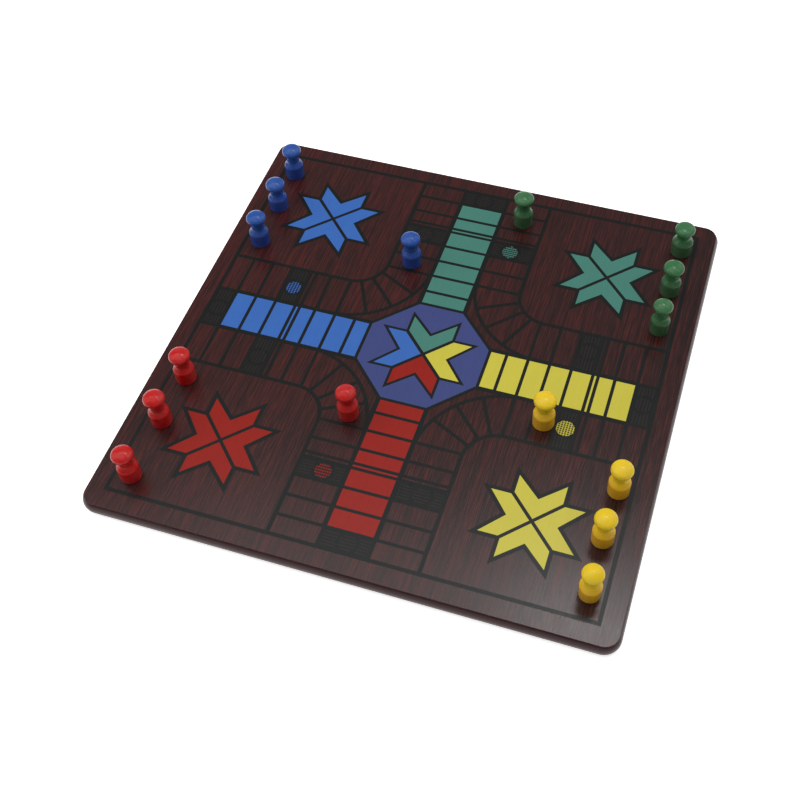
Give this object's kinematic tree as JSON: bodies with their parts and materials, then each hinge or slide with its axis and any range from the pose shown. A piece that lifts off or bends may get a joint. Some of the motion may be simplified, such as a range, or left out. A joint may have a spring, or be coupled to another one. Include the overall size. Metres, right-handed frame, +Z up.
{
  "type": "race board game set",
  "caption": "Square wooden race game board, printed on its play side, with turned wooden pawns in four colours standing on it.",
  "frame": {"origin": "middle of the board's underside", "axes": "+Z up out of the play side, +Y along the green arm of the printed cross, +X along the yellow arm"},
  "size_m": [0.3, 0.3, 0.0351],
  "materials": {
    "edge_lacquer": "satin dark brown lacquer over fibreboard",
    "printed_facing": "satin dark rosewood effect with a printed layout",
    "reverse_facing": "satin dark rosewood effect",
    "blue_paint": "satin enamel on turned wood",
    "green_paint": "satin enamel on turned wood",
    "red_paint": "satin enamel on turned wood",
    "yellow_paint": "satin enamel on turned wood"
  },
  "bodies": {
    "board": {"board_core": "edge_lacquer", "play_side_facing": "printed_facing", "reverse_side_facing": "reverse_facing"},
    "blue_pawn_1": {"blue_pawn_1": "blue_paint"},
    "blue_pawn_2": {"blue_pawn_2": "blue_paint"},
    "blue_pawn_3": {"blue_pawn_3": "blue_paint"},
    "blue_pawn_4": {"blue_pawn_4": "blue_paint"},
    "green_pawn_1": {"green_pawn_1": "green_paint"},
    "green_pawn_2": {"green_pawn_2": "green_paint"},
    "green_pawn_3": {"green_pawn_3": "green_paint"},
    "green_pawn_4": {"green_pawn_4": "green_paint"},
    "red_pawn_1": {"red_pawn_1": "red_paint"},
    "red_pawn_2": {"red_pawn_2": "red_paint"},
    "red_pawn_3": {"red_pawn_3": "red_paint"},
    "red_pawn_4": {"red_pawn_4": "red_paint"},
    "yellow_pawn_1": {"yellow_pawn_1": "yellow_paint"},
    "yellow_pawn_2": {"yellow_pawn_2": "yellow_paint"},
    "yellow_pawn_3": {"yellow_pawn_3": "yellow_paint"},
    "yellow_pawn_4": {"yellow_pawn_4": "yellow_paint"}
  },
  "joints": [
    {"name": "blue_pawn_1_lift", "type": "slide", "parent": "board", "child": "blue_pawn_1", "axis": [0, 0, 1], "range_m": [0, 0.06]},
    {"name": "blue_pawn_2_lift", "type": "slide", "parent": "board", "child": "blue_pawn_2", "axis": [0, 0, 1], "range_m": [0, 0.06]},
    {"name": "blue_pawn_3_lift", "type": "slide", "parent": "board", "child": "blue_pawn_3", "axis": [0, 0, 1], "range_m": [0, 0.06]},
    {"name": "blue_pawn_4_lift", "type": "slide", "parent": "board", "child": "blue_pawn_4", "axis": [0, 0, 1], "range_m": [0, 0.06]},
    {"name": "green_pawn_1_lift", "type": "slide", "parent": "board", "child": "green_pawn_1", "axis": [0, 0, 1], "range_m": [0, 0.06]},
    {"name": "green_pawn_2_lift", "type": "slide", "parent": "board", "child": "green_pawn_2", "axis": [0, 0, 1], "range_m": [0, 0.06]},
    {"name": "green_pawn_3_lift", "type": "slide", "parent": "board", "child": "green_pawn_3", "axis": [0, 0, 1], "range_m": [0, 0.06]},
    {"name": "green_pawn_4_lift", "type": "slide", "parent": "board", "child": "green_pawn_4", "axis": [0, 0, 1], "range_m": [0, 0.06]},
    {"name": "red_pawn_1_lift", "type": "slide", "parent": "board", "child": "red_pawn_1", "axis": [0, 0, 1], "range_m": [0, 0.06]},
    {"name": "red_pawn_2_lift", "type": "slide", "parent": "board", "child": "red_pawn_2", "axis": [0, 0, 1], "range_m": [0, 0.06]},
    {"name": "red_pawn_3_lift", "type": "slide", "parent": "board", "child": "red_pawn_3", "axis": [0, 0, 1], "range_m": [0, 0.06]},
    {"name": "red_pawn_4_lift", "type": "slide", "parent": "board", "child": "red_pawn_4", "axis": [0, 0, 1], "range_m": [0, 0.06]},
    {"name": "yellow_pawn_1_lift", "type": "slide", "parent": "board", "child": "yellow_pawn_1", "axis": [0, 0, 1], "range_m": [0, 0.06]},
    {"name": "yellow_pawn_2_lift", "type": "slide", "parent": "board", "child": "yellow_pawn_2", "axis": [0, 0, 1], "range_m": [0, 0.06]},
    {"name": "yellow_pawn_3_lift", "type": "slide", "parent": "board", "child": "yellow_pawn_3", "axis": [0, 0, 1], "range_m": [0, 0.06]},
    {"name": "yellow_pawn_4_lift", "type": "slide", "parent": "board", "child": "yellow_pawn_4", "axis": [0, 0, 1], "range_m": [0, 0.06]}
  ]
}
